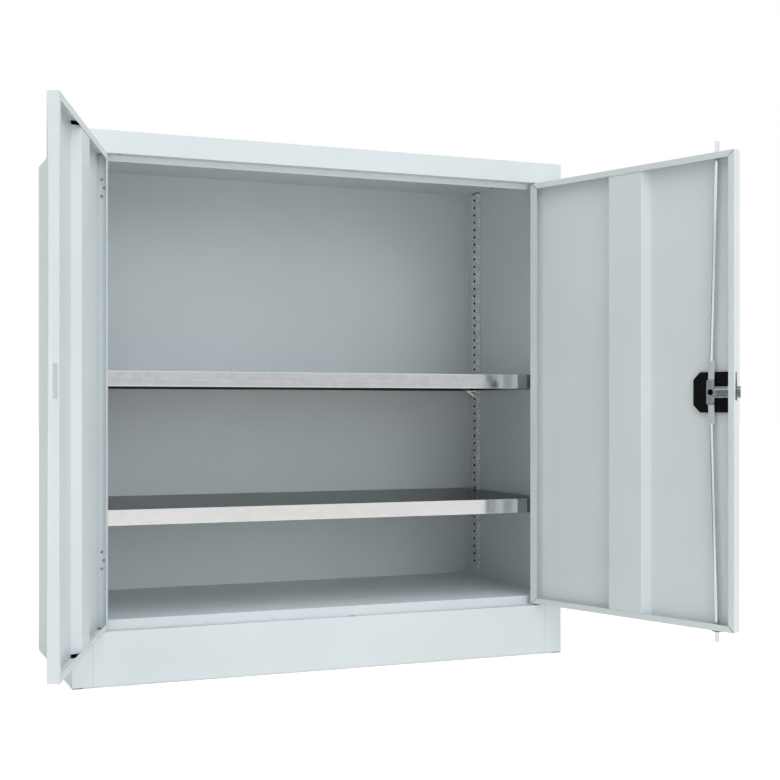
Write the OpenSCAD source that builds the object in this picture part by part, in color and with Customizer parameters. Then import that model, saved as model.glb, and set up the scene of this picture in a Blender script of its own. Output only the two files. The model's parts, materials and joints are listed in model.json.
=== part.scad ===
// Low two-door office cabinet in folded sheet steel, with two adjustable shelves
// and a three-point rod lock. Millimetres, +Z up, origin on the floor under the
// middle of the body. The doors stand open and the lock bolts are thrown.

/* [Body] */
// Width over the side panels
body_w = 1000; // [900:10:1200]
// Height from the floor to the top
body_h = 1000; // [900:10:1200]
// Depth from the door faces to the back
body_d = 400; // [350:5:600]
// Thickness of the body sheet
sheet = 1; // [0.8:0.1:1.2]
// Height of the folded fascia above the doors
fascia_h = 41; // [35:1:60]
// Height of the ledge on top of the plinth
plinth_h = 99.5; // [70:0.5:130]
// Width of the side panels' front flanges
flange_w = 37.5; // [32:0.5:50]
// Depth of the folds behind the front faces
fold_d = 22.5; // [22:0.5:26]
// How far the stop lip hangs below the fascia
stop_drop = 10.5; // [8:0.5:13]
// Height of the floor sheet above the plinth ledge
floor_rise = 17; // [12:0.5:25]
// Width of the small inward flanges of the panels
hem_w = 15; // [10:1:18]
// Height of the glides under the corners
glide_h = 1.5; // [1:0.5:3]
// Diameter of the hanging holes under the fascia
hang_hole_d = 4; // [3:0.5:6]
// Distance of the hanging holes from the door pivots
hang_hole_in = 37; // [20:1:60]
// Distance of the hanging holes behind the front
hang_hole_back = 10; // [8:0.5:14]
// Size of the square glides
glide_w = 18; // [14:1:20]

/* [Doors] */
// Depth of the folded door pans
door_t = 18.3; // [17.5:0.1:18.7]
// Thickness of the door sheet
door_sheet = 1; // [0.8:0.1:1.2]
// Width of the inner lip on the hinge side
hinge_lip_w = 16; // [12:0.5:20]
// Width of the inner lip on the other three sides
door_lip_w = 11.3; // [8:0.1:14]
// Width of the open mitres in the corners of the lips
mitre_gap = 1.6; // [0.6:0.1:2.2]
// Gap between a door and the fascia
gap_top = 1.5; // [1.5:0.1:3]
// Gap between a door and the plinth ledge
gap_bottom = 3.5; // [3:0.1:5]
// Gap between a door and the side flange
gap_side = 2; // [2:0.1:4]
// Gap between the two closed doors
gap_mid = 2; // [1.6:0.1:4]
// Angle at which both doors stand open
door_open = 110; // [90:1:120]
// How far the door stiffener sits off the middle, towards the hinge
stiff_shift = 1; // [0:0.5:5]
// Width of the raised face of the door stiffener
stiff_face_w = 73; // [50:1:90]
// Sideways run of each sloping wall of the stiffener
stiff_slope = 12; // [5:0.5:15]
// Gap between the stiffener's raised face and the door lips
stiff_gap = 0.3; // [0.3:0.1:5]
// Gap between the stiffener's ends and the door folds
stiff_end_gap = 6.5; // [3:0.5:12]

/* [Pivots] */
// Diameter of the door pivot pins
pivot_d = 5; // [4:0.5:5]
// Distance of the pivot from the door's hinge edge
pivot_inset = 10; // [9:0.5:11]
// Distance of the pivot behind the door face
pivot_depth = 4.2; // [4:0.1:5]
// How far a pivot pin reaches into the body
pivot_reach = 8; // [5:0.5:12]
// Outer diameter of the nylon washers on the pivots
washer_d = 7.8; // [7:0.1:8]
// Diameter of the rivets in the hinge-side fold
rivet_d = 3.2; // [2.4:0.1:4]
// Height step between the rivets of a group
rivet_step = 15; // [10:1:25]
// Distance of the upper rivet group from the door's top
rivet_top = 61; // [45:1:100]
// Distance of the lower rivet group from the door's bottom
rivet_bottom = 123.5; // [60:0.5:160]

/* [Shelves] */
// Distance between the holes of the uprights
hole_pitch = 17; // [15:0.5:25]
// Height of the oblong holes in the uprights
hole_d = 4.4; // [3.6:0.2:6]
// Width of the oblong holes in the uprights, along the depth
hole_w = 7.6; // [6:0.2:12]
// Height of the first hole above the floor sheet
hole_start = 31.5; // [20:0.5:40]
// Number of the hole, from 0, that carries the lower shelf
lower_hole = 8; // [5:1:12]
// Number of the hole, from 0, that carries the upper shelf
upper_hole = 23; // [18:1:30]
// Width of the perforated face of an upright
upright_w = 25; // [16:1:30]
// How far an upright stands proud of the side panel
upright_t = 8; // [6:0.5:12]
// Distance of the rear uprights from the back of the body
upright_rear = 28; // [22:1:60]
// Distance of the front uprights from the front of the body
upright_front = 50; // [40:1:80]
// Height of the folded edge of a shelf
shelf_h = 29; // [22:1:35]
// Width of the fold under the edge of a shelf
shelf_fold = 12; // [8:1:20]
// Distance from the front of the body to a shelf
shelf_setback = 35; // [33:1:60]
// Gap between a shelf and the uprights
shelf_gap = 1; // [0.5:0.1:3]
// Reach of a shelf clip from its upright
clip_reach = 19; // [14:1:32]
// Depth of a clip's foot below its hole
clip_drop = 14.5; // [11:0.5:30]
// Width of the strap that a clip is bent from
clip_w = 12; // [8:1:16]
// Thickness of a clip's strap
clip_t = 1.5; // [1:0.1:2]

/* [Lock] */
// Height of the lock axis above the floor
lock_z = 529; // [430:1:620]
// Distance of the lock axis from the door's free edge
lock_inset = 51; // [50:0.5:56]
// Distance of the rods from the free edge where they leave the door
rod_inset = 39; // [32:0.5:50]
// Diameter of the rods
rod_d = 8; // [6:0.5:9]
// How far the thrown rods stand out of the door
rod_reach = 20.5; // [16:0.5:21]
// Distance from the lock axis to the rod studs
crank_r = 19.5; // [17:0.5:20]
// Diameter of the rod studs
stud_d = 4.5; // [3.5:0.5:5]
// Width of the flat paddles at the rod ends
paddle_w = 12.4; // [11:0.2:15]
// Width of the crank plate
crank_w = 16; // [14:0.5:20]
// Height of the tongue
tongue_h = 20.4; // [14:0.2:22]
// How far the thrown tongue stands out of the door
tongue_reach = 8; // [6:0.5:9]
// Thickness of the crank plate and its tongue
crank_t = 2.5; // [2:0.1:3]
// Radius of the corners of the crank plate
crank_corner = 5; // [2:0.5:6]
// Width of the plate behind the lock, inside the door
plate_w = 83; // [74:1:84]
// Height of the plate behind the lock
plate_h = 73; // [60:1:80]
// How far that plate sits off the lock axis, towards the free edge
plate_shift = 3.5; // [2:0.5:8]
// Width of the cut corners of the lock's plates
plate_cut = 13.5; // [8:0.5:18]
// Width of the raised rim of the plate
plate_rim = 2.5; // [1.5:0.5:5]
// Width of the escutcheon on the outside of the door
escutcheon_w = 76; // [60:1:84]
// Height of the escutcheon
escutcheon_h = 79; // [60:1:90]
// Diameter of the lock spindle
spindle_d = 14; // [10:0.5:15]
// Length of the grip of the handle
grip_l = 66; // [50:1:80]
// Width of the grip of the handle
grip_w = 21; // [18:0.5:26]
// How far the handle stands out of the door
handle_out = 26; // [20:1:35]
// Diameter of the key plug
plug_d = 13; // [10:0.5:14]

/* [Hidden] */
$fn = 48;
run_gap = 0.05;
seat_gap = 0.3;
front_y = -body_d/2;
back_y = body_d/2;
half_w = body_w/2;
open_w = half_w - flange_w;
fascia_z = body_h - fascia_h;
floor_z = plinth_h + floor_rise;
stop_y = front_y + fold_d;
under_top = body_h - sheet;

door_edge = open_w - gap_side;
door_w = door_edge - gap_mid/2;
door_z0 = plinth_h + gap_bottom;
door_z1 = fascia_z - gap_top;
door_h = door_z1 - door_z0;
stiff_h = door_t - 2*door_sheet - stiff_gap;
pivot_x = door_edge - pivot_inset;
pivot_y = front_y + pivot_depth;
collar_h = 3;
collar_rim = 0.5;
washer_top_h = 0.8;

rivet_v1 = 7.1;
rivet_v2 = 11.1;
rivet_head = 1;

lock_u = door_w - lock_inset;
rod_u = door_w - rod_inset;
rod_v = door_t/2;
crank_v = rod_v + 0.35;
paddle_t = 2;
paddle_l = plate_h/2 + 1.5;
paddle_v = crank_v - seat_gap - paddle_t;
plate_v = paddle_v - seat_gap;
rod_lean = atan((rod_u - lock_u)/(door_z1 - lock_z - crank_r));
rod_lean_low = atan((rod_u - lock_u)/(lock_z - crank_r - door_z0));
crank_h = crank_r + stud_d/2 + 1.3;
tongue_end = lock_inset + tongue_reach;
slot_up = sqrt(pow(tongue_end, 2) + pow(tongue_h/2, 2) - pow(lock_inset - door_sheet, 2)) + 3.2;
slot_down = tongue_h/2 + 4.7;
slot_play = 1.35;
keeper_play = 0.6;
keeper_rim = 2.3;
guide_play = 3.4;
guide_wall = 1;
guide_rim = 1;
strike_play = 1.2;
plate_dip = 0.8;
escutcheon_t = 6;
lock_bore_d = 28;
grip_t = 12;
plug_l = 12;
key_slot_w = 2;
key_slot_l = 8.5;
key_slot_h = 6;
boss_rim = 8;
groove_w = 1.8;
groove_h = 1;
groove_pitch = 3.8;
groove_drop = 1.6;

upright_x = half_w - sheet - upright_t;
upright_top = under_top - sheet - 2;
hole_z0 = floor_z + hole_start;
hole_count = floor((upright_top - 12 - hole_z0)/hole_pitch) + 1;
front_hole_y = front_y + upright_front + upright_w/2;
rear_hole_y = back_y - upright_rear - upright_w/2;
shelf_half = upright_x - shelf_gap;
shelf_back = back_y - 2*sheet - 1.5;
peg_play = 0.4;
peg_d = hole_d - peg_play;
peg_l = 4;

powder = "#D7DFE3";
galvanised = "#B9BDC0";
zinc = "#8B9096";
black = "#17181A";
nylon = "#E8E8E2";

function hole_z(k) = hole_z0 + k*hole_pitch;
function shelf_z(k) = hole_z(k) + clip_t + shelf_h;

// A box given by its two corners
module span(a, b) {
    translate(a)
        cube(b - a);
}

// Copies the right-hand child to the left
module mirrored(side) {
    if (side < 0) {
        mirror([1, 0, 0])
            children();
    } else {
        children();
    }
}

// A slot with round ends, along X, cut or raised along Z
module slot(length, width, height) {
    for (s = [-1, 1]) {
        translate([s*(length - width)/2, 0, 0])
            cylinder(d = width, h = height);
    }
    translate([-(length - width)/2, -width/2, 0])
        cube([length - width, width, height]);
}

// A plate on the XY plane, centred, with round corners
module rounded_plate(size, r, height) {
    for (x = [-1, 1]) {
        for (y = [-1, 1]) {
            translate([x*(size[0]/2 - r), y*(size[1]/2 - r), 0])
                cylinder(r = r, h = height);
        }
    }
    translate([-size[0]/2 + r, -size[1]/2, 0])
        cube([size[0] - 2*r, size[1], height]);
    translate([-size[0]/2, -size[1]/2 + r, 0])
        cube([size[0], size[1] - 2*r, height]);
}

// Door space: X runs from the hinge edge to the free edge, Y from the face to the
// inside, Z from the floor. The children land on the open door.
module on_door(side) {
    translate([side*pivot_x, pivot_y, 0])
        rotate([0, 0, side*door_open])
            translate([side*pivot_inset, -pivot_depth, 0])
                mirrored(-side)
                    children();
}

// Lock space: the same as door space, with its origin on the lock axis and Z
// pointing out of the inside of the door
module on_lock() {
    on_door(1)
        translate([lock_u, 0, lock_z])
            rotate([-90, 0, 0])
                mirror([0, 1, 0])
                    children();
}

module side_panel(side) {
    low = glide_h;
    color(powder)
        mirrored(side)
            union() {
                span([half_w - sheet, front_y, low], [half_w, back_y, fascia_z]);
                span([half_w - sheet, front_y + sheet, fascia_z], [half_w, back_y, under_top]);
                span([open_w, front_y, low], [half_w, front_y + sheet, fascia_z]);
                span([open_w, front_y, low], [open_w + sheet, stop_y - sheet, fascia_z]);
                span([half_w - hem_w, back_y - 2*sheet, low],
                     [half_w, back_y - sheet, under_top]);
                span([half_w - hem_w, stop_y + sheet, under_top - sheet],
                     [half_w, back_y - sheet, under_top]);
                span([half_w - hem_w, front_y, low], [half_w, back_y - sheet, low + sheet]);
            }
}

module top_panel() {
    color(powder)
        difference() {
            union() {
                span([-half_w, front_y, under_top], [half_w, back_y, body_h]);
                span([-half_w, front_y, fascia_z], [half_w, front_y + sheet, body_h]);
                span([-half_w + sheet, front_y, fascia_z],
                     [half_w - sheet, stop_y + sheet, fascia_z + sheet]);
                span([-open_w, stop_y, fascia_z - stop_drop],
                     [open_w, stop_y + sheet, fascia_z + sheet]);
            }
            for (side = [-1, 1]) {
                translate([side*pivot_x, pivot_y, fascia_z - 1])
                    cylinder(d = pivot_d + 2*run_gap, h = sheet + 2);
                translate([side*(pivot_x - hang_hole_in), front_y + hang_hole_back, fascia_z - 1])
                    cylinder(d = hang_hole_d, h = sheet + 2);
            }
            strike(fascia_z - 1);
        }
}

// The slot that takes a thrown rod when the right door is shut
module strike(z) {
    translate([door_edge - rod_u, front_y + rod_v, z])
        slot(rod_d + 2*(guide_play + strike_play), rod_d + 2*strike_play, sheet + 2);
}

module back_panel() {
    color(powder)
        span([-half_w + sheet, back_y - sheet, glide_h + sheet],
             [half_w - sheet, back_y, under_top]);
}

module floor_panel() {
    in = half_w - sheet;
    color(powder)
        union() {
            span([-in, stop_y, floor_z - sheet], [in, back_y - 2*sheet, floor_z]);
            span([-open_w, stop_y, plinth_h], [open_w, stop_y + sheet, floor_z]);
            span([-open_w, stop_y, plinth_h],
                 [open_w, stop_y + hem_w, plinth_h + sheet]);
            for (side = [-1, 1]) {
                mirrored(side)
                    span([in - sheet, stop_y + hem_w, plinth_h],
                         [in, back_y - 2*sheet, floor_z]);
            }
        }
}

module plinth_front() {
    in = open_w;
    ledge_y = stop_y + hem_w;
    color(powder)
        difference() {
            union() {
                span([-in, front_y, glide_h], [in, front_y + sheet, plinth_h]);
                span([-in, front_y, plinth_h - sheet], [in, ledge_y, plinth_h]);
                span([-in, ledge_y - sheet, plinth_h - hem_w], [in, ledge_y, plinth_h]);
                span([-in, front_y, glide_h], [in, front_y + fold_d, glide_h + sheet]);
            }
            for (side = [-1, 1]) {
                translate([side*pivot_x, pivot_y, plinth_h - sheet - 1])
                    cylinder(d = pivot_d + 2*run_gap, h = sheet + 2);
            }
            strike(plinth_h - sheet - 1);
        }
}

module rear_floor_rail() {
    in = half_w - 2*sheet;
    y1 = back_y - 2*sheet;
    color(powder)
        union() {
            span([-in, y1 - 2*hem_w, floor_z - 2*sheet], [in, y1, floor_z - sheet]);
            span([-in, y1 - sheet, floor_z - 4*hem_w], [in, y1, floor_z - sheet]);
        }
}

// Perforated channel, welded to the side panel
module upright(side, hole_y) {
    y0 = hole_y - upright_w/2;
    y1 = hole_y + upright_w/2;
    color(powder)
        mirrored(side)
            difference() {
                span([upright_x, y0, floor_z], [half_w - sheet, y1, upright_top]);
                span([upright_x + sheet, y0 + sheet, floor_z - 1],
                     [half_w, y1 - sheet, upright_top + 1]);
                for (k = [0:hole_count - 1]) {
                    translate([upright_x - 1, hole_y, hole_z(k)])
                        rotate([0, 90, 0])
                            rotate([0, 0, 90])
                                slot(hole_w, hole_d, sheet + 2);
                }
            }
}

// One strap clip for the hole at the origin, reaching towards -X
module clip() {
    slope = clip_drop/clip_reach;
    rotate([90, 0, 0])
        translate([0, 0, -clip_w/2])
            linear_extrude(clip_w)
                difference() {
                    polygon([[0, clip_t], [-clip_reach, clip_t], [-clip_reach, 0], [0, -clip_drop]]);
                    polygon([[-clip_t, 0], [-clip_reach + 2*clip_t/slope, 0],
                             [-clip_t, -clip_drop + 2*clip_t]]);
                }
    translate([-shelf_gap/2, 0, 0])
        rotate([0, 90, 0])
            rotate([0, 0, 90])
                slot(hole_w - peg_play, peg_d, shelf_gap/2 + peg_l);
}

module shelf_clips(k) {
    color(galvanised)
        for (side = [-1, 1]) {
            for (y = [front_hole_y, rear_hole_y]) {
                mirrored(side)
                    translate([upright_x, y, hole_z(k)])
                        clip();
            }
        }
}

module shelf(k) {
    z1 = shelf_z(k);
    z0 = z1 - shelf_h;
    y0 = front_y + shelf_setback;
    x1 = shelf_half;
    color(galvanised)
        difference() {
            span([-x1, y0, z0], [x1, shelf_back, z1]);
            span([-x1 + sheet, y0 + sheet, z0 + sheet],
                 [x1 - sheet, shelf_back - sheet, z1 - sheet]);
            span([-x1 + shelf_fold, y0 + shelf_fold, z0 - 1],
                 [x1 - shelf_fold, shelf_back - shelf_fold, z0 + 2*sheet]);
        }
}

module pivot_washers() {
    color(nylon)
        for (side = [-1, 1]) {
            translate([side*pivot_x, pivot_y, 0])
                difference() {
                    union() {
                        translate([0, 0, plinth_h])
                            cylinder(d = washer_d, h = gap_bottom - seat_gap);
                        translate([0, 0, fascia_z - washer_top_h])
                            cylinder(d = washer_d, h = washer_top_h);
                    }
                    translate([0, 0, plinth_h - 1])
                        cylinder(d = pivot_d + 2*run_gap, h = fascia_z - plinth_h + 2);
                }
        }
}

module floor_glides() {
    x1 = half_w - sheet;
    color(black)
        for (side = [-1, 1]) {
            for (y = [front_y + sheet, back_y - sheet - glide_w]) {
                mirrored(side)
                    span([x1 - glide_w, y, 0], [x1, y + glide_w, glide_h]);
            }
        }
}

// The folded pan of either door, in door space
module door_pan(slot_v0, slot_v1) {
    t = door_sheet;
    lip_y = door_t - t;
    win0 = [hinge_lip_w, lip_y - 1, door_z0 + door_lip_w];
    win1 = [door_w - door_lip_w, door_t + 1, door_z1 - door_lip_w];
    difference() {
        span([0, 0, door_z0], [door_w, door_t, door_z1]);
        span([t, t, door_z0 + t], [door_w - t, lip_y, door_z1 - t]);
        span(win0, win1);
        mitre([0, door_z0], [hinge_lip_w, door_lip_w]);
        mitre([0, door_z1], [hinge_lip_w, -door_lip_w]);
        mitre([door_w, door_z0], [-door_lip_w, door_lip_w]);
        mitre([door_w, door_z1], [-door_lip_w, -door_lip_w]);
        for (z = [door_z0 - 1, door_z1 - t - 1]) {
            translate([pivot_inset, pivot_depth, z])
                cylinder(d = pivot_d, h = t + 2);
        }
        rivet_sites()
            translate([0, 0, -1])
                cylinder(d = rivet_d, h = t + 2);
        span([door_w - t - 1, slot_v0, lock_z - slot_down],
             [door_w + 1, slot_v1, lock_z + slot_up]);
    }
}

// The open joint between two lips, from a corner of the door towards the window
module mitre(corner, run) {
    length = norm(run);
    translate([corner[0], door_t - door_sheet - 0.01, corner[1]])
        rotate([0, -atan2(run[1], run[0]), 0])
            translate([-door_sheet, 0, -mitre_gap/2])
                cube([length + door_sheet, door_sheet + 1, mitre_gap]);
}

// Puts the children at each rivet, with Z through the hinge-side fold
module rivet_sites() {
    for (z = [door_z1 - rivet_top, door_z0 + rivet_bottom]) {
        for (i = [-1:1]) {
            translate([0, i == 0 ? rivet_v2 : rivet_v1, z + i*rivet_step])
                rotate([0, 90, 0])
                    children();
        }
    }
}

module left_door_panel() {
    color(powder)
        on_door(-1)
            door_pan(crank_v - keeper_play, door_t - keeper_rim);
}

module right_door_panel() {
    guide_l = rod_d + 2*(guide_play + guide_wall);
    guide_w = rod_d + 2*(run_gap*4 + guide_wall);
    color(powder)
        on_door(1)
            difference() {
                door_pan(crank_v - slot_play, crank_v + crank_t + slot_play);
                for (z = [door_z0 - 1, door_z1 - door_sheet - 1]) {
                    translate([rod_u, rod_v, z])
                        slot(guide_l, guide_w, door_sheet + 2);
                }
                translate([lock_u, -1, lock_z])
                    rotate([-90, 0, 0])
                        cylinder(d = lock_bore_d, h = door_sheet + 2);
            }
}

// Hat section stiffener in the middle of a door
module door_stiffener(side) {
    t = door_sheet;
    mid = door_w/2 - stiff_shift;
    f = stiff_face_w/2;
    b = f + stiff_slope;
    color(powder)
        on_door(side)
            translate([mid, t, door_z0 + t + stiff_end_gap])
                linear_extrude(door_h - 2*t - 2*stiff_end_gap)
                    polygon([[-b, 0], [-f, stiff_h], [f, stiff_h], [b, 0],
                             [b - 1.3*t, 0], [f - t, stiff_h - t],
                             [-f + t, stiff_h - t], [-b + 1.3*t, 0]]);
}

// Pivot pins, each with a collar inside the door
module door_pivots(side) {
    t = door_sheet;
    color(zinc)
        on_door(side)
            translate([pivot_inset, pivot_depth, 0]) {
                translate([0, 0, door_z0 - gap_bottom - pivot_reach])
                    cylinder(d = pivot_d, h = pivot_reach + gap_bottom + t + collar_h);
                translate([0, 0, door_z0 + t])
                    cylinder(d = pivot_d + 2*collar_rim, h = collar_h);
                translate([0, 0, door_z1 - t - collar_h])
                    cylinder(d = pivot_d, h = pivot_reach + gap_top + t + collar_h);
                translate([0, 0, door_z1 - t - collar_h])
                    cylinder(d = pivot_d + 2*collar_rim, h = collar_h);
            }
}

module door_rivets(side) {
    color(zinc)
        on_door(side)
            rivet_sites() {
                cylinder(d = rivet_d, h = door_sheet);
                translate([0, 0, door_sheet])
                    cylinder(d = 1.7*rivet_d, h = rivet_head);
            }
}

// Black bushes that guide the rods through the door's top and bottom folds
module rod_guides() {
    inner_l = rod_d + 2*guide_play;
    inner_w = rod_d + run_gap*8;
    color(black)
        on_door(1)
            for (up = [0, 1]) {
                z = up == 1 ? door_z1 - door_sheet - guide_rim : door_z0 - guide_rim;
                h = door_sheet + 2*guide_rim;
                translate([rod_u, rod_v, z])
                    difference() {
                        union() {
                            slot(inner_l + 2*guide_wall, inner_w + 2*guide_wall, h);
                            translate([0, 0, up == 1 ? 0 : h - guide_rim])
                                slot(inner_l + 3*guide_wall, inner_w + 2*guide_wall + 1, guide_rim);
                        }
                        translate([0, 0, -1])
                            slot(inner_l, inner_w, h + 2);
                    }
            }
}

// Octagonal outline of the lock plates
module octagon(w, h) {
    c = plate_cut;
    polygon([[-w/2 + c, -h/2], [w/2 - c, -h/2], [w/2, -h/2 + c], [w/2, h/2 - c],
             [w/2 - c, h/2], [-w/2 + c, h/2], [-w/2, h/2 - c], [-w/2, -h/2 + c]]);
}

module lock_backplate() {
    color(black)
        on_lock()
            difference() {
                translate([plate_shift, 0, door_sheet])
                    linear_extrude(plate_v - door_sheet)
                        octagon(plate_w, plate_h);
                translate([plate_shift, 0, plate_v - plate_dip])
                    linear_extrude(plate_dip + 1)
                        octagon(plate_w - 2*plate_rim, plate_h - 2*plate_rim);
                cylinder(d = spindle_d + 2*run_gap, h = door_t);
            }
}

module lock_escutcheon() {
    color(black)
        on_lock()
            difference() {
                union() {
                    translate([0, 0, -escutcheon_t])
                        linear_extrude(escutcheon_t)
                            octagon(escutcheon_w, escutcheon_h);
                    cylinder(d = lock_bore_d, h = door_sheet);
                }
                translate([0, 0, -escutcheon_t - 1])
                    cylinder(d = spindle_d + 2*run_gap, h = escutcheon_t + door_sheet + 2);
            }
}

// Wing handle with a round boss; the key plug sits in its middle
module lock_handle() {
    boss_d = grip_w + 2*boss_rim;
    z1 = -escutcheon_t - seat_gap;
    color(black)
        on_lock()
            difference() {
                union() {
                    translate([0, 0, -handle_out + grip_t/2])
                        cylinder(d = boss_d, h = handle_out + z1 - grip_t/2);
                    translate([0, 0, -handle_out])
                        rotate([0, 0, 90])
                            slot(grip_l, grip_w, grip_t);
                }
                translate([0, 0, -handle_out - 1])
                    cylinder(d = plug_d + 2*run_gap, h = plug_l + 1);
            }
}

module lock_spindle() {
    z0 = -escutcheon_t - seat_gap;
    color(black)
        on_lock()
            union() {
                translate([0, 0, z0])
                    cylinder(d = spindle_d, h = crank_v - z0);
                cylinder(d = spindle_d - 3, h = crank_v + crank_t);
            }
}

module key_plug() {
    color(zinc)
        on_lock()
            difference() {
                translate([0, 0, -handle_out - 0.5])
                    cylinder(d = plug_d, h = plug_l + 0.5 - seat_gap);
                translate([-key_slot_w/2, -key_slot_l/2, -handle_out - 1])
                    cube([key_slot_w, key_slot_l, key_slot_h + 0.5]);
            }
}

// Crank with its tongue towards the free edge and a stud at each end
module crank_plate() {
    color(zinc)
        on_lock()
            translate([0, 0, crank_v])
                difference() {
                    union() {
                        rounded_plate([crank_w, 2*crank_h], crank_corner, crank_t);
                        translate([0, -tongue_h/2, 0])
                            cube([tongue_end, tongue_h, crank_t]);
                        for (s = [-1, 1]) {
                            translate([0, s*crank_r, -seat_gap - paddle_t])
                                cylinder(d = stud_d, h = seat_gap + paddle_t + crank_t);
                        }
                    }
                    translate([0, 0, -1])
                        cylinder(d = spindle_d - 3, h = crank_t + 2);
                    for (k = [-1:1]) {
                        y = k*groove_pitch - groove_w/2 - groove_drop;
                        translate([crank_w/2 + 3, y, crank_t - groove_h])
                            cube([tongue_end, groove_w, groove_h + 1]);
                    }
                }
}

// One rod with its flat paddle, hung on a stud of the crank
module rod(up) {
    lean = up > 0 ? rod_lean : rod_lean_low;
    reach = up > 0 ? door_z1 + rod_reach - lock_z - crank_r
                   : lock_z - crank_r - door_z0 + rod_reach;
    length = reach/cos(lean);
    start = paddle_l - 1;
    color(powder)
        on_lock()
            translate([0, up*crank_r, 0])
                rotate([0, 0, up > 0 ? -lean : 180 + lean])
                    difference() {
                        union() {
                            translate([0, start, rod_v])
                                rotate([-90, 0, 0])
                                    cylinder(d = rod_d, h = length - start);
                            translate([0, 0, paddle_v])
                                cylinder(d = paddle_w, h = paddle_t);
                            translate([-paddle_w/2, 0, paddle_v])
                                cube([paddle_w, paddle_l, paddle_t]);
                        }
                        translate([0, 0, paddle_v - 1])
                            cylinder(d = stud_d + 2*run_gap, h = paddle_t + 2);
                    }
}

side_panel(-1);  // left_side_panel
side_panel(1);  // right_side_panel
top_panel();
back_panel();
floor_panel();
plinth_front();
rear_floor_rail();
upright(-1, front_hole_y);  // front_left_upright
upright(1, front_hole_y);  // front_right_upright
upright(-1, rear_hole_y);  // rear_left_upright
upright(1, rear_hole_y);  // rear_right_upright
shelf_clips(upper_hole);  // upper_shelf_clips
shelf_clips(lower_hole);  // lower_shelf_clips
pivot_washers();
floor_glides();
shelf(upper_hole);  // upper_shelf
shelf(lower_hole);  // lower_shelf
left_door_panel();
door_stiffener(-1);  // left_door_stiffener
door_pivots(-1);  // left_door_pivots
door_rivets(-1);  // left_door_rivets
right_door_panel();
door_stiffener(1);  // right_door_stiffener
door_pivots(1);  // right_door_pivots
door_rivets(1);  // right_door_rivets
rod_guides();
lock_backplate();
lock_escutcheon();
lock_handle();
lock_spindle();
crank_plate();
key_plug();
rod(1);  // upper_rod
rod(-1);  // lower_rod
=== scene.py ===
# Low two-door steel office cabinet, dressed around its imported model.
import bpy
import bmesh
import json
import math
from mathutils import Matrix, Vector


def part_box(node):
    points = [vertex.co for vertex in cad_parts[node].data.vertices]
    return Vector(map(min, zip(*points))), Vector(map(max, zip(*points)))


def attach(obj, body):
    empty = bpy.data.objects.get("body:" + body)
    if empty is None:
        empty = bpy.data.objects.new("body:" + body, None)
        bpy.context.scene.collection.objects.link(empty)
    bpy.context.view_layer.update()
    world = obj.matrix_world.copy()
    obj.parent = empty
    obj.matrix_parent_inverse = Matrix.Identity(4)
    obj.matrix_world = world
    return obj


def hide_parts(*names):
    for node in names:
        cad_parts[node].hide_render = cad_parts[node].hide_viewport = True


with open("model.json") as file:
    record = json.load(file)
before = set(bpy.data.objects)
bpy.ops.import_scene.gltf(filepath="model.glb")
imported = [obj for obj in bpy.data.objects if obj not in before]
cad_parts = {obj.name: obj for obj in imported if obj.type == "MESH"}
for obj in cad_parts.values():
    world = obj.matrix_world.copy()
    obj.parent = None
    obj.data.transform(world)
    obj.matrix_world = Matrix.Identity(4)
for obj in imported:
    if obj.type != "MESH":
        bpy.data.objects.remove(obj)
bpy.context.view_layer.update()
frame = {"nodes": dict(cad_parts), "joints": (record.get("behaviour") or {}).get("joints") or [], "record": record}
mm = 0.001
metre = 1000  # in mm, to turn a real size into a pattern scale
sides = ((-1, "left"), (1, "right"))
uprights = [name for name in frame["nodes"] if name.endswith("_upright")]
shelves = ("upper_shelf", "lower_shelf")

# The sRGB curve: a straight toe, then a power
curve = {"toe": 0.04045, "slope": 12.92, "offset": 0.055, "power": 2.4}


def linear(hexColour):
    channels = []
    for i in (1, 3, 5):
        tone = int(hexColour[i:i + 2], 16) / 255
        if tone <= curve["toe"]:
            channels.append(tone / curve["slope"])
        else:
            channels.append(((tone + curve["offset"]) / (1 + curve["offset"])) ** curve["power"])
    return channels + [1]


def addNode(tree, kind, inputs=None, links=None, **settings):
    node = tree.nodes.new(kind)
    for name, value in settings.items():
        setattr(node, name, value)
    for name, value in (inputs or {}).items():
        node.inputs[name].default_value = value
    for name, output in (links or {}).items():
        tree.links.new(output, node.inputs[name])
    return node


def newMaterial(name, **shader):
    # an empty material with one shader, whose uniform values sit on its own sockets
    material = bpy.data.materials.new(name)
    material.use_nodes = True
    tree = material.node_tree
    tree.nodes.clear()
    surface = addNode(tree, "ShaderNodeBsdfPrincipled", inputs=shader)
    addNode(tree, "ShaderNodeOutputMaterial", links={"Surface": surface.outputs[0]})
    place = addNode(tree, "ShaderNodeTexCoord").outputs["Object"]
    return material, tree, surface, place


# Camera: fitted to the photo's corners with the body 1000 mm wide
camera = {"focal": 1265.6, "centreX": 308.5, "centreY": 408.7, "frame": 780, "sensor": 36,
          "yaw": 20.36, "pitch": 90, "place": (-888.4, -2453.7, 499.5), "farthest": 100}


def addCamera():
    data = bpy.data.cameras.new("photoCamera")
    data.sensor_width = camera["sensor"]
    data.lens = camera["focal"] * camera["sensor"] / camera["frame"]
    data.shift_x = (camera["frame"] / 2 - camera["centreX"]) / camera["frame"]
    data.shift_y = (camera["centreY"] - camera["frame"] / 2) / camera["frame"]
    data.clip_end = camera["farthest"]
    obj = bpy.data.objects.new("photoCamera", data)
    obj.location = Vector(camera["place"]) * mm
    obj.rotation_euler = (math.radians(camera["pitch"]), 0, -math.radians(camera["yaw"]))
    bpy.context.scene.collection.objects.link(obj)
    bpy.context.scene.camera = obj


addCamera()
print("camera set")

# Polyester powder coat on steel: a pale blue grey, satin, with a faint orange peel
powder = {"colour": "#DDE4E7", "shade": "#D8DFE2", "roughness": 0.55, "peel": 3.0, "grit": 1.2,
          "mix": 0.4, "cloud": 260.0, "bump": 0.05}
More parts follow.
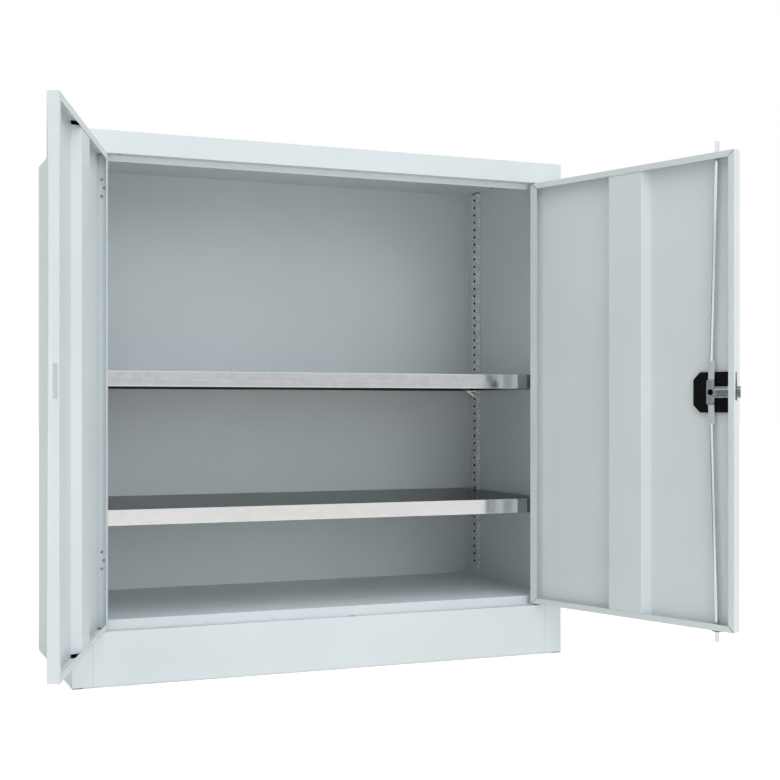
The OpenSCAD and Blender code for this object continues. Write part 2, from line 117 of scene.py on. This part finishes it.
# The uprights wear a thinner, coarser coat, mottled over the zinc below it
thinPowder = {"colour": "#F6F7F7", "shade": "#C8CCCC", "roughness": 0.5, "peel": 2.0, "grit": 5.0,
              "mix": 2.0, "cloud": 30.0, "bump": 0.1}
# What both coats share: the noise's mean, how far its tones reach from it, and the peel's depth in mm
coat = {"mean": 0.5, "reach": 0.14, "cloudDetail": 3.0, "gritDetail": 1.0, "peelDetail": 2.0, "depth": 0.1}


def powderCoat(name, look):
    material, tree, surface, place = newMaterial(name, Roughness=look["roughness"])
    noises = {}
    for word in ("cloud", "grit", "peel"):
        noises[word] = addNode(tree, "ShaderNodeTexNoise", links={"Vector": place},
                               inputs={"Scale": metre / look[word], "Detail": coat[word + "Detail"]})
    blend = addNode(tree, "ShaderNodeMath", operation="MULTIPLY_ADD", inputs={1: look["mix"]},
                    links={0: noises["grit"].outputs["Fac"], 2: noises["cloud"].outputs["Fac"]})
    middle = coat["mean"] * (1 + look["mix"])
    reach = coat["reach"] * (1 + look["mix"])
    tone = addNode(tree, "ShaderNodeMapRange", links={"Value": blend.outputs[0]},
                   inputs={"From Min": middle - reach, "From Max": middle + reach})
    colour = addNode(tree, "ShaderNodeMix", data_type="RGBA", links={"Factor": tone.outputs[0]},
                     inputs={"A": linear(look["shade"]), "B": linear(look["colour"])})
    tree.links.new(colour.outputs["Result"], surface.inputs["Base Color"])
    bump = addNode(tree, "ShaderNodeBump", links={"Height": noises["peel"].outputs["Fac"]},
                   inputs={"Strength": look["bump"], "Distance": coat["depth"] * mm})
    tree.links.new(bump.outputs[0], surface.inputs["Normal"])
    return material


# Hot-dip galvanised sheet: bright, faintly cloudy, with a spangle and rolling streaks along X.
# The folded edges keep the bright tone; the flat top and underside get painted shade, a darker
# base colour and a darker reflection tint that dims them most at a glancing angle.
galvanised = {"light": "#DEE0E2", "dark": "#D5D8DA", "shadedFlatLight": "#DADDDF", "shadedFlatDark": "#C6C9CC",
              "shadedGlanceLight": "#A0A0A0", "shadedGlanceDark": "#7C7C7C", "clear": "#FFFFFF",
              "spangle": 14.0, "streakLength": 220.0, "streakWidth": 5.0, "streakDetail": 3.0,
              "spangleShare": 0.45, "toneFrom": 0.35, "toneTo": 1.1, "flatFrom": 0.6, "flatTo": 0.9,
              "glossFrom": 0.3, "glossTo": 1.0, "smooth": 0.05, "rough": 0.1}


def galvanisedSheet():
    material, tree, surface, place = newMaterial("galvanisedSteel", Metallic=1.0)
    spangle = addNode(tree, "ShaderNodeTexVoronoi", inputs={"Scale": metre / galvanised["spangle"]},
                      links={"Vector": place})
    crystal = addNode(tree, "ShaderNodeSeparateColor", links={"Color": spangle.outputs["Color"]})
    squeeze = galvanised["streakWidth"] / galvanised["streakLength"]
    stretched = addNode(tree, "ShaderNodeMapping", inputs={"Scale": (squeeze, 1, 1)},
                        links={"Vector": place})
    streak = addNode(tree, "ShaderNodeTexNoise", links={"Vector": stretched.outputs[0]},
                     inputs={"Scale": metre / galvanised["streakWidth"],
                             "Detail": galvanised["streakDetail"]})
    blend = addNode(tree, "ShaderNodeMath", operation="MULTIPLY_ADD",
                    inputs={1: galvanised["spangleShare"]},
                    links={0: crystal.outputs[0], 2: streak.outputs["Fac"]})
    tone = addNode(tree, "ShaderNodeMapRange", links={"Value": blend.outputs[0]},
                   inputs={"From Min": galvanised["toneFrom"], "From Max": galvanised["toneTo"]})
    tints = {}
    for word, low, high in (("bright", "dark", "light"), ("paintedShadeBase", "shadedFlatDark", "shadedFlatLight"),
                            ("paintedShadeTint", "shadedGlanceDark", "shadedGlanceLight")):
        mixed = addNode(tree, "ShaderNodeMix", data_type="RGBA", links={"Factor": tone.outputs[0]},
                        inputs={"A": linear(galvanised[low]), "B": linear(galvanised[high])})
        tints[word] = mixed.outputs["Result"]
    # the flat faces are those whose normal points up or down
    facing = addNode(tree, "ShaderNodeSeparateXYZ",
                     links={0: addNode(tree, "ShaderNodeNewGeometry").outputs["Normal"]})
    upDown = addNode(tree, "ShaderNodeMath", operation="ABSOLUTE", links={0: facing.outputs["Z"]})
    flat = addNode(tree, "ShaderNodeMapRange", links={"Value": upDown.outputs[0]},
                   inputs={"From Min": galvanised["flatFrom"], "From Max": galvanised["flatTo"]})
    # the flat faces take the darker base colour: painted shade
    colour = addNode(tree, "ShaderNodeMix", data_type="RGBA",
                     links={"Factor": flat.outputs[0], "A": tints["bright"], "B": tints["paintedShadeBase"]})
    tree.links.new(colour.outputs["Result"], surface.inputs["Base Color"])
    # and a darker reflection tint that dims them most at a glancing angle: painted shade
    glance = addNode(tree, "ShaderNodeMix", data_type="RGBA", inputs={"A": linear(galvanised["clear"])},
                     links={"Factor": flat.outputs[0], "B": tints["paintedShadeTint"]})
    tree.links.new(glance.outputs["Result"], surface.inputs["Specular Tint"])
    gloss = addNode(tree, "ShaderNodeMapRange", links={"Value": blend.outputs[0]},
                    inputs={"From Min": galvanised["glossFrom"], "From Max": galvanised["glossTo"],
                            "To Min": galvanised["smooth"], "To Max": galvanised["rough"]})
    tree.links.new(gloss.outputs[0], surface.inputs["Roughness"])
    return material


# Zinc-plated casting: mid grey, with a coarse grain that breaks up the shine
zincCrank = {"light": "#BCC1C7", "dark": "#7B8189", "grain": 2.6, "roughness": 0.42, "bump": 0.25}
# Zinc-plated drawn rod: pale and smooth, with one long highlight
zincRod = {"light": "#E6E9EC", "dark": "#DADDE1", "grain": 1.2, "roughness": 0.27, "bump": 0.03}
# Zinc-plated strap, sheared and bent: pale, slightly rippled
zincClip = {"light": "#E4E5E1", "dark": "#C4C5C1", "grain": 2.5, "roughness": 0.22, "bump": 0.1}
# Painted highlight on the fold of the galvanised sheet: paler and smoother than the sheet, for a thin bright line
foldHighlight = {"light": "#F0F1F2", "dark": "#E0E1E2", "grain": 2.0, "roughness": 0.15, "bump": 0.0}
# Painted shade for the grooves of the zinc: dark, without shine
grooveShade = {"light": "#50565C", "dark": "#3C4146", "grain": 1.0, "roughness": 0.55, "bump": 0.1}
# Moulded black polyamide: near black, satin, with the mould's fine spark texture
polyamideBlack = {"light": "#0C0C0D", "dark": "#070708", "grain": 0.9, "roughness": 0.6, "bump": 0.2,
                  "ior": 1.2}
# Moulded grey polyamide: the same texture in a mid grey
polyamideGrey = {"light": "#9C9E9D", "dark": "#8C8E8D", "grain": 0.9, "roughness": 0.6, "bump": 0.2,
                 "ior": 1.4}
# Painted shade: a matt near black for pieces set in dark hollows; and felt, matt fibres in a pale grey
paintedShadeBlack = {"light": "#0A0A0A", "dark": "#030303", "grain": 0.6, "roughness": 0.95, "bump": 0.4,
             "ior": 1.1}
greyFelt = {"light": "#BABAB8", "dark": "#A8A8A6", "grain": 0.6, "roughness": 0.95, "bump": 0.4,
            "ior": 1.1}
# Open-cell foam and rubber: matt, a dark warm grey
darkFoam = {"light": "#4C4C4A", "dark": "#3A3A38", "grain": 0.6, "roughness": 0.95, "bump": 0.4,
            "ior": 1.1}
# The grain's detail and depth in mm, and the part of it that turns metal from dark to light
grainy = {"detail": 2.0, "depth": 0.1, "metalFrom": 0.35, "metalTo": 0.65}


def grainFinish(look, tree, surface, place, contrast):
    grain = addNode(tree, "ShaderNodeTexNoise", links={"Vector": place},
                    inputs={"Scale": metre / look["grain"], "Detail": grainy["detail"]})
    tone = grain.outputs["Fac"]
    if contrast:
        sharper = addNode(tree, "ShaderNodeMapRange", links={"Value": tone},
                          inputs={"From Min": grainy["metalFrom"], "From Max": grainy["metalTo"]})
        tone = sharper.outputs[0]
    colour = addNode(tree, "ShaderNodeMix", data_type="RGBA", links={"Factor": tone},
                     inputs={"A": linear(look["dark"]), "B": linear(look["light"])})
    tree.links.new(colour.outputs["Result"], surface.inputs["Base Color"])
    bump = addNode(tree, "ShaderNodeBump", links={"Height": grain.outputs["Fac"]},
                   inputs={"Strength": look["bump"], "Distance": grainy["depth"] * mm})
    tree.links.new(bump.outputs[0], surface.inputs["Normal"])


def zincPlate(name, look):
    material, tree, surface, place = newMaterial(name, Metallic=1.0, Roughness=look["roughness"])
    grainFinish(look, tree, surface, place, contrast=True)
    return material


def softFinish(name, look):
    # mouldings, felt and foam
    material, tree, surface, place = newMaterial(name, Roughness=look["roughness"], IOR=look["ior"])
    grainFinish(look, tree, surface, place, contrast=False)
    return material


finishes = {"powder_coat": powderCoat("powderCoatSteel", powder), "galvanised": galvanisedSheet(),
            "zinc_plate": zincPlate("zincPlatedCasting", zincCrank),
            "black_plastic": softFinish("blackPolyamide", polyamideBlack),
            "nylon": softFinish("greyPolyamide", polyamideGrey)}
thinCoat = powderCoat("thinPowderCoat", thinPowder)
rodFinish = zincPlate("brightZincRod", zincRod)
clipFinish = zincPlate("zincPlatedStrap", zincClip)
highlightFoldFinish = zincPlate("paintedFoldHighlight", foldHighlight)
shadedGrooveFinish = zincPlate("grooveShade", grooveShade)
blackShade = softFinish("paintedShadeBlack", paintedShadeBlack)
paleFelt = softFinish("greyFelt", greyFelt)
foamFinish = softFinish("darkFoam", darkFoam)
# the lock spindle gets the same near-black matt finish
special = {"upper_rod": rodFinish, "lower_rod": rodFinish, "lock_spindle": blackShade}
special.update({name: thinCoat for name in uprights})
print("materials made")

# Folded sheet has a small radius on every edge, so each carried-over node gets one
edges = {"weld": 0.01, "angle": 40, "sheet": 0.35, "moulded": 0.5, "segments": 2}


def roundEdges(obj, name, width):
    bevel = obj.modifiers.new(name, "BEVEL")
    bevel.width = width * mm
    bevel.segments = edges["segments"]
    bevel.limit_method = "ANGLE"
    bevel.angle_limit = math.radians(edges["angle"])
    return bevel


def dressNodes():
    slots = {part["node"]: part["material_slot"] for part in frame["record"]["subparts"]}
    for name, obj in frame["nodes"].items():
        slot = slots[name]
        finish = special.get(name, finishes[slot])
        for place in obj.material_slots:
            place.material = finish
        weld = obj.modifiers.new("joinCorners", "WELD")
        weld.merge_threshold = edges["weld"] * mm
        width = edges["moulded"] if slot == "black_plastic" else edges["sheet"]
        roundEdges(obj, "foldRadius", width).harden_normals = True


dressNodes()
print("nodes dressed")

# A door's own axes at rest: u from its hinge edge, v from its face inwards, z from the floor
door = {"open": 110.0, "inset": 10.0, "depth": 4.2, "width": 459.5, "sheet": 1.0}
joints = {joint["name"]: joint for joint in frame["joints"]}
# turns an outline in y and z so that its prism runs along the width
alongX = Matrix(((0, 0, 1, 0), (1, 0, 0, 0), (0, 1, 0, 0), (0, 0, 0, 1)))
# for pieces drawn in the body's own axes
inPlace = Matrix()


def doorPlace(side):
    pivot = Vector(joints["right_door_hinge" if side > 0 else "left_door_hinge"]["pos_m"]) / mm
    swing = Matrix.Rotation(math.radians(side * door["open"]), 4, "Z")
    shift = Matrix.Translation((side * door["inset"], -door["depth"], 0))
    mirror = Matrix.Scale(-side, 4, (1, 0, 0))
    return Matrix.Translation((pivot.x, pivot.y, 0)) @ swing @ shift @ mirror


def box(node):
    return [[value / mm for value in corner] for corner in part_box(node)]


def uprightSpan(name):
    # an upright's side, its two distances from the middle plane, and its box
    low, high = box(name)
    side = 1 if high[0] > 0 else -1
    inner, wall = sorted((abs(low[0]), abs(high[0])))
    return side, inner, wall, low, high


def addPiece(name, shape, place, finish, body, soften):
    # a finished piece from a bmesh in millimetres, with its edges softened
    shape.transform(Matrix.Scale(mm, 4) @ place)
    bmesh.ops.recalc_face_normals(shape, faces=shape.faces)
    mesh = bpy.data.meshes.new(name)
    shape.to_mesh(mesh)
    shape.free()
    mesh.materials.append(finish)
    obj = bpy.data.objects.new(name, mesh)
    bpy.context.scene.collection.objects.link(obj)
    if soften:
        roundEdges(obj, "softEdges", soften)
    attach(obj, body)
    return obj


def strips(shape, near, far):
    # quads between two rings with the same number of corners
    for k in range(len(near)):
        j = (k + 1) % len(near)
        shape.faces.new([near[k], near[j], far[j], far[k]])


def skin(shape, rings, tube=False):
    # a closed form through rings of points: a tube back to its first ring, or one with flat ends
    made = [[shape.verts.new(point) for point in ring] for ring in rings]
    if tube:
        made.append(made[0])
    else:
        shape.faces.new(list(reversed(made[0])))
        shape.faces.new(made[-1])
    for near, far in zip(made, made[1:]):
        strips(shape, near, far)


def prism(shape, outline, low, high):
    skin(shape, [[(x, y, z) for x, y in outline] for z in (low, high)])


def slab(shape, x0, x1, y0, y1, low, high):
    prism(shape, [(x0, y0), (x1, y0), (x1, y1), (x0, y1)], low, high)


def oblong(length, width, turns=8):
    # the outline of a slot with round ends
    reach = (length - width) / 2
    points = []
    for side in (1, -1):
        for k in range(turns + 1):
            turn = math.pi * (k / turns - 0.5)
            points.append((side * (reach + width / 2 * math.cos(turn)), side * width / 2 * math.sin(turn)))
    return points


# Near-black blocks in the ends of the stiffeners: painted shade in the dark hollows there
stiffenerShade = {"middle": 228.75, "top": 35.0, "foot": 46.6, "v0": 1.3, "v1": 15.7, "inside": 10.0, "endGap": 6.5,
        "clear": 0.3, "soft": 0.8}


def addStiffenerShade():
    outline = [(stiffenerShade["middle"] - stiffenerShade["foot"], stiffenerShade["v0"]), (stiffenerShade["middle"] - stiffenerShade["top"], stiffenerShade["v1"]),
               (stiffenerShade["middle"] + stiffenerShade["top"], stiffenerShade["v1"]), (stiffenerShade["middle"] + stiffenerShade["foot"], stiffenerShade["v0"])]
    reach = door["sheet"] + stiffenerShade["clear"]
    hold = door["sheet"] + stiffenerShade["endGap"] + stiffenerShade["inside"]
    for side, word in sides:
        low, high = box(word + "_door_panel")
        for end, z0, z1 in (("lower", low[2] + reach, low[2] + hold),
                            ("upper", high[2] - hold, high[2] - reach)):
            shape = bmesh.new()
            prism(shape, outline, z0, z1)
            # a near-black block: painted shade
            addPiece(word + "_door_shade_block_" + end, shape, doorPlace(side), blackShade,
                     word + "_door", stiffenerShade["soft"])


# Near-black linings in the hollow of each upright, seen through its holes, and a near-black pad on its top below
# the ceiling: painted shade
liningShade = {"web": 1.4, "wall": 0.3, "thick": 0.4, "side": 1.2, "foot": 2.0, "soft": 0.1, "pad": 0.2,
        "padEdge": 0.3, "padSoft": 0.5, "ceiling": 998.0}


def addUprightShadeLinings():
    for name in uprights:
        side, inner, wall, low, high = uprightSpan(name)
        x0, x1 = side * (inner + liningShade["web"]), side * (wall - liningShade["wall"])
        y0, y1 = low[1] + liningShade["side"], high[1] - liningShade["side"]
        t = liningShade["thick"]
        outline = [(x0, y0), (x1, y0), (x1, y1), (x0, y1), (x0, y1 - t), (x1 - side * t, y1 - t),
                   (x1 - side * t, y0 + t), (x0, y0 + t)]
        shape = bmesh.new()
        prism(shape, outline, low[2] + liningShade["foot"], high[2] - liningShade["pad"])
        # painted shade behind the holes
        addPiece(name + "_shade_lining", shape, inPlace, blackShade, "cabinet", liningShade["soft"])
        e = liningShade["padEdge"]
        shape = bmesh.new()
        slab(shape, side * (inner + e), side * (wall - e), low[1] + e, high[1] - e,
             high[2], liningShade["ceiling"] - liningShade["pad"])
        # painted shade in the gap under the ceiling
        addPiece(name + "_shade_pad", shape, inPlace, blackShade, "cabinet", liningShade["padSoft"])


# Near-black rings line the uprights' holes: painted shade that makes the holes read dark and wide
holes = {"length": 7.5, "height": 4.3, "rim": 0.4, "bevel": 0.1, "proud": 0.1, "sunk": 0.02, "deep": 1.05,
         "skin": 0.04, "pitch": 17.0, "first": 31.5, "topMargin": 11.0, "floor": 116.5}


def addHoleShadeRings():
    # each step round the rim: how far out from the hole, and how far into the sheet
    steps = [(holes["rim"], -holes["sunk"]), (holes["rim"] - holes["bevel"], -holes["proud"]),
             (0, -holes["proud"]), (0, holes["deep"]), (holes["skin"], holes["deep"]),
             (holes["skin"], -holes["sunk"])]
    for name in uprights:
        side, inner, wall, low, high = uprightSpan(name)
        y = (low[1] + high[1]) / 2
        shape = bmesh.new()
        z = holes["floor"] + holes["first"]
        while z < high[2] - holes["topMargin"]:
            rings = []
            for grow, x in steps:
                outline = oblong(holes["length"] + 2 * grow, holes["height"] + 2 * grow)
                rings.append([(side * (inner + x), y + dy, z + dz) for dy, dz in outline])
            skin(shape, rings, tube=True)
            z += holes["pitch"]
        addPiece(name + "_hole_shade_rings", shape, inPlace, blackShade, "cabinet", 0)


# Felt strips behind the folds of the side panels close the slit beside each open door
strip = {"from": 446.8, "to": 489.0, "back": -177.3, "thick": 0.6, "low": 121.0, "high": 946.0,
         "soft": 0.15}


def addFeltStrips():
    for side, word in sides:
        shape = bmesh.new()
        slab(shape, side * strip["from"], side * strip["to"], strip["back"],
             strip["back"] + strip["thick"], strip["low"], strip["high"])
        addPiece(word + "_felt_strip", shape, inPlace, paleFelt, "cabinet", strip["soft"])


# Domed plugs: two in the hanging holes under the fascia, two at the top corners of the ceiling.
# The profile is in shares of the radius and of the dome's depth, and ends just below the sheet.
plugs = {"hanging": (413.5, -190.0, 959.0), "hangingRadius": 2.7, "ceiling": (494.2, 86.0, 998.0),
         "ceilingRadius": 4.2, "dome": 0.75, "seat": 0.05, "segments": 32,
         "profile": ((0.3, 1.0), (0.7, 0.85), (0.93, 0.5), (1.0, 0.1))}


def addPlugs():
    turns = [2 * math.pi * k / plugs["segments"] for k in range(plugs["segments"])]
    for word in ("hanging", "ceiling"):
        x, y, z = plugs[word]
        radius = plugs[word + "Radius"]
        steps = [(wide * radius, -deep * plugs["dome"]) for wide, deep in plugs["profile"]]
        steps.append((radius, -plugs["seat"]))
        shape = bmesh.new()
        for side in (-1, 1):
            skin(shape, [[(side * x + r * math.cos(a), y + r * math.sin(a), z + rise) for a in turns]
                         for r, rise in steps])
        addPiece(word + "_hole_plugs", shape, inPlace, finishes["nylon"], "cabinet", 0)


# The shelves' front folds have a small outer radius that catches a thin line of light, and its strip wears a paler
# zinc than the sheet as a painted highlight
fold = {"radius": 1.7, "proud": 0.12, "inset": 0.6, "sweep": 90, "steps": 6, "skin": 0.45}


def addShelfFolds():
    r = fold["radius"]
    bore = r - fold["skin"]
    arc = [math.radians(fold["sweep"] * k / fold["steps"]) for k in range(fold["steps"] + 1)]
    for name in shelves:
        low, high = box(name)
        shape = bmesh.new()
        for z, up in ((high[2], 1), (low[2], -1)):
            cy, cz = low[1] + r - fold["proud"], z + up * (fold["proud"] - r)
            outer = [(cy - r * math.cos(a), cz + up * r * math.sin(a)) for a in arc]
            inner = [(cy - bore * math.cos(a), cz + up * bore * math.sin(a)) for a in reversed(arc)]
            prism(shape, outer + inner, low[0] + fold["inset"], high[0] - fold["inset"])
        # the fold strip wears the paler zinc: a painted highlight
        addPiece(name + "_folds", shape, alongX, highlightFoldFinish, name, 0)


# A foam strip inside the rear fold of each shelf keeps it from ringing
hush = {"fold": 11.0, "clear": 0.3, "rise": 13.0, "sheet": 1.0, "end": 14.0, "soft": 0.8}


def addShelfFoam():
    for name in shelves:
        low, high = box(name)
        z0 = low[2] + hush["sheet"] + hush["clear"]
        shape = bmesh.new()
        slab(shape, high[1] - hush["fold"], high[1] - hush["sheet"] - hush["clear"],
             z0, z0 + hush["rise"], low[0] + hush["end"], high[0] - hush["end"])
        addPiece(name + "_foam", shape, alongX, foamFinish, name, hush["soft"])


# Sealant beads where the plinth meets the side flanges
bead = {"at": 462.5, "half": 0.3, "front": -200.04, "deep": 0.3, "low": 1.6, "high": 98.0, "soft": 0.03}


def addPlinthBeads():
    shape = bmesh.new()
    for side in (-1, 1):
        middle = side * bead["at"]
        slab(shape, middle - bead["half"], middle + bead["half"], bead["front"],
             bead["front"] + bead["deep"], bead["low"], bead["high"])
    addPiece("plinth_seams", shape, inPlace, paleFelt, "cabinet", bead["soft"])


# A rubber wiper below the right door keeps dust out of the lower rod's guide
wiper = {"inset": 39.0, "v": 9.15, "length": 20.0, "width": 12.6, "holeLength": 15.2, "holeWidth": 9.2,
         "low": -2.2, "high": -1.0, "soft": 0.2}


def addWiper():
    foot = box("right_door_panel")[0][2]
    outer = oblong(wiper["length"], wiper["width"])
    inner = oblong(wiper["holeLength"], wiper["holeWidth"])
    u = door["width"] - wiper["inset"]
    rings = [[(u + x, wiper["v"] + y, foot + wiper[z]) for x, y in outline]
             for outline, z in ((outer, "low"), (outer, "high"), (inner, "high"), (inner, "low"))]
    shape = bmesh.new()
    skin(shape, rings, tube=True)
    addPiece("lower_rod_wiper", shape, doorPlace(1), foamFinish, "right_door",
             wiper["soft"])


# The tongue of the crank is stiffened by one pressed rib, which wears the paler rod finish as a painted highlight,
# and painted shade lines its grooves
rib = {"lock": 51.0, "height": 4.6, "width": 1.7, "crest": 0.5, "from": 6.5, "to": 47.0, "face": 12.0,
       "lift": 0.02, "rise": 0.8, "soft": 0.2}
groove = {"heights": (2.2, -1.6, -5.4), "width": 1.5, "from": 12.0, "to": 58.4, "low": 11.02, "high": 11.5,
          "soft": 0.1}


def addCrankRib():
    lockZ = joints["lock_turn"]["pos_m"][2] / mm
    u = door["width"] - rib["lock"]
    half = rib["width"] / 2
    crest = half * rib["crest"]
    root, top = rib["face"] + rib["lift"], rib["face"] + rib["rise"]
    outline = [(rib["height"] - half, root), (rib["height"] + half, root),
               (rib["height"] + crest, top), (rib["height"] - crest, top)]
    # outline x is height over the lock axis, outline y is v, and the prism runs along u
    lay = Matrix(((0, 0, 1, u), (0, 1, 0, 0), (1, 0, 0, lockZ), (0, 0, 0, 1)))
    shape = bmesh.new()
    prism(shape, outline, rib["from"], rib["to"])
    # the rib wears the paler rod finish: a painted highlight
    addPiece("crank_rib", shape, doorPlace(1) @ lay, rodFinish, "lock", rib["soft"])
    shape = bmesh.new()
    for height in groove["heights"]:
        slab(shape, height - groove["width"] / 2, height + groove["width"] / 2, groove["low"],
             groove["high"], groove["from"], groove["to"])
    # dark strips in the crank's grooves: painted shade
    addPiece("crank_groove_shade", shape, doorPlace(1) @ lay, shadedGrooveFinish, "lock",
             groove["soft"])


# Shelf clips, bent from strap and cut on a slant in front, with one flat tab each
clip = {"reach": 18.6, "drop": 14.6, "top": 1.5, "nose": 1.2, "front": -6.0, "back": 6.0, "slant": 10.0,
        "holeTop": -1.2, "holeNose": -10.0, "holeRoot": -0.8, "holeFoot": -9.6, "soft": 0.25,
        "tabWide": 7.2, "tabHigh": 4.0, "tabLength": 4.0, "tabStart": -0.5, "tabEdge": 0.6}


def clipShape(shape, side, x, y, z):
    # the outline and the hole of one clip share their corners, so the front, the back and
    # the edges are plain strips between them
    outer = [(0, clip["top"]), (-clip["reach"], clip["top"]), (-clip["reach"], -clip["nose"]),
             (0, -clip["drop"])]
    hole = [(clip["holeRoot"], clip["holeTop"]), (clip["holeNose"], clip["holeTop"]),
            (clip["holeRoot"], clip["holeFoot"])]

    def corner(point, front):
        cut = clip["slant"] * -point[0] / clip["reach"]
        depth = clip["front"] + cut if front else clip["back"]
        return shape.verts.new((side * (x + point[0]), y + depth, z + point[1]))

    faces = []
    for front in (True, False):
        a, b, c, d = [corner(point, front) for point in outer]
        e, f, g = [corner(point, front) for point in hole]
        for loop in ((a, b, f, e), (b, c, f), (c, d, g, f), (d, a, e, g)):
            shape.faces.new(loop)
        faces.append(([a, b, c, d], [e, f, g]))
    for near, far in zip(*faces):
        strips(shape, near, far)


def tabShape(shape, side, x, y, z):
    # the flat tab that hooks a clip into its hole, slimmer at the tip
    start, tip, edge = clip["tabStart"], clip["tabLength"], clip["tabEdge"]
    rings = []
    for reach, slim in ((start, 0.0), (tip - edge, 0.0), (tip, edge)):
        outline = oblong(clip["tabWide"] - 2 * slim, clip["tabHigh"] - 2 * slim)
        rings.append([(side * (x + reach), y + wide, z + high) for wide, high in outline])
    skin(shape, rings)


def addClips():
    rows = []
    for upright in ("front_right_upright", "rear_right_upright"):
        low, high = box(upright)
        rows.append((low[1] + high[1]) / 2)
    for name in ("upper_shelf_clips", "lower_shelf_clips"):
        low, high = box(name)
        top = high[2] - clip["top"]
        root = high[0] - clip["tabLength"]
        shape = bmesh.new()
        for side in (-1, 1):
            for y in rows:
                clipShape(shape, side, root, y, top)
                tabShape(shape, side, root, y, top)
        obj = addPiece(name + "_bent", shape, inPlace, clipFinish, "cabinet", clip["soft"])
        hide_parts(name)


addStiffenerShade()
addUprightShadeLinings()
addHoleShadeRings()
addFeltStrips()
addPlugs()
addShelfFolds()
addShelfFoam()
addPlinthBeads()
addWiper()
addCrankRib()
addClips()
print("details added")

# Stage: a white floor and sky to the camera, softly lit from all round. The floor's shine, the sky
# and the lobes are linear strengths in red, green and blue.
stage = {"floorHalf": 30.0, "floor": "#F8F5ED", "lift": 0.36, "shine": (0.12, 0.105, 0.12, 1),
         "white": "#FFFFFF", "sky": (0.0, 0.01, 0.015), "mirroredLow": 0.69, "mirroredHigh": 1.0,
         "rise": (0.03, 0.3)}
# Each lobe: where it shines from, how narrow it is, and its colour
lobes = [((0, 0, 1), 1.0, (1.09, 1.10, 1.11)), ((-1, 0, 0), 1.0, (0.15, 0.155, 0.155)),
         ((0, -1, 0.1), 24.0, (2.1, 2.14, 2.16)), ((0.1, -0.8, 0.6), 16.0, (1.38, 1.43, 1.47)),
         ((0.35, -0.93, 0.1), 24.0, (0.9, 0.92, 0.94)), ((0.7, -0.7, 0.1), 14.0, (0.75, 0.78, 0.82))]
lamp = {"place": (0.0, -0.6, 3.6), "aim": (0.0, 0.0, 0.5), "width": 3.6, "length": 3.0, "power": 23.0}


def addFloor():
    half = stage["floorHalf"]
    mesh = bpy.data.meshes.new("floorSheet")
    mesh.from_pydata([(-half, -half, 0), (half, -half, 0), (half, half, 0), (-half, half, 0)], [],
                     [(0, 1, 2, 3)])
    material = bpy.data.materials.new("paleFloor")
    material.use_nodes = True
    tree = material.node_tree
    tree.nodes.clear()
    matte = addNode(tree, "ShaderNodeBsdfDiffuse", inputs={"Color": linear(stage["floor"])})
    path = addNode(tree, "ShaderNodeLightPath")
    lift = addNode(tree, "ShaderNodeMath", operation="MULTIPLY", inputs={1: stage["lift"]},
                   links={0: path.outputs["Is Camera Ray"]})
    glow = addNode(tree, "ShaderNodeEmission", links={"Strength": lift.outputs[0]})
    shine = addNode(tree, "ShaderNodeEmission", inputs={"Color": stage["shine"]},
                    links={"Strength": path.outputs["Is Glossy Ray"]})
    seen = addNode(tree, "ShaderNodeAddShader", links={0: matte.outputs[0], 1: glow.outputs[0]})
    both = addNode(tree, "ShaderNodeAddShader", links={0: seen.outputs[0], 1: shine.outputs[0]})
    addNode(tree, "ShaderNodeOutputMaterial", links={"Surface": both.outputs[0]})
    mesh.materials.append(material)
    obj = bpy.data.objects.new("floorSheet", mesh)
    bpy.context.scene.collection.objects.link(obj)


def addSky():
    world = bpy.data.worlds.new("studioSky")
    world.use_nodes = True
    tree = world.node_tree
    tree.nodes.clear()
    heading = addNode(tree, "ShaderNodeTexCoord").outputs["Generated"]
    total = addNode(tree, "ShaderNodeVectorMath", operation="ADD", inputs={0: stage["sky"]})
    for direction, power, colour in lobes:
        facing = addNode(tree, "ShaderNodeVectorMath", operation="DOT_PRODUCT", links={0: heading},
                         inputs={1: Vector(direction).normalized()})
        lit = addNode(tree, "ShaderNodeMath", operation="MAXIMUM", inputs={1: 0},
                      links={0: facing.outputs["Value"]})
        lobe = addNode(tree, "ShaderNodeMath", operation="POWER", inputs={1: power},
                       links={0: lit.outputs[0]})
        tinted = addNode(tree, "ShaderNodeVectorMath", operation="SCALE", inputs={0: colour},
                         links={"Scale": lobe.outputs[0]})
        total = addNode(tree, "ShaderNodeVectorMath", operation="ADD",
                        links={0: total.outputs[0], 1: tinted.outputs[0]})
    # a metal mirrors a backdrop that brightens from the horizon upwards, and the camera sees white
    path = addNode(tree, "ShaderNodeLightPath")
    height = addNode(tree, "ShaderNodeSeparateXYZ", links={0: heading})
    backdrop = addNode(tree, "ShaderNodeMapRange", links={"Value": height.outputs["Z"]},
                       inputs={"From Min": stage["rise"][0], "From Max": stage["rise"][1],
                               "To Min": stage["mirroredLow"], "To Max": stage["mirroredHigh"]})
    mirrored = addNode(tree, "ShaderNodeMix", data_type="RGBA",
                       links={"Factor": path.outputs["Is Glossy Ray"], "A": total.outputs[0],
                              "B": backdrop.outputs[0]})
    shown = addNode(tree, "ShaderNodeMix", data_type="RGBA", inputs={"B": linear(stage["white"])},
                    links={"Factor": path.outputs["Is Camera Ray"], "A": mirrored.outputs["Result"]})
    sky = addNode(tree, "ShaderNodeBackground", links={"Color": shown.outputs["Result"]})
    addNode(tree, "ShaderNodeOutputWorld", links={"Surface": sky.outputs[0]})
    bpy.context.scene.world = world


def addLamp():
    data = bpy.data.lights.new("overhead", "AREA")
    data.shape = "RECTANGLE"
    data.size = lamp["width"]
    data.size_y = lamp["length"]
    data.energy = lamp["power"]
    obj = bpy.data.objects.new("overhead", data)
    obj.location = lamp["place"]
    towards = Vector(lamp["place"]) - Vector(lamp["aim"])
    obj.rotation_euler = towards.to_track_quat("Z", "Y").to_euler()
    bpy.context.scene.collection.objects.link(obj)


addFloor()
addSky()
addLamp()
bpy.context.scene.view_settings.view_transform = "Standard"
print("stage lit")
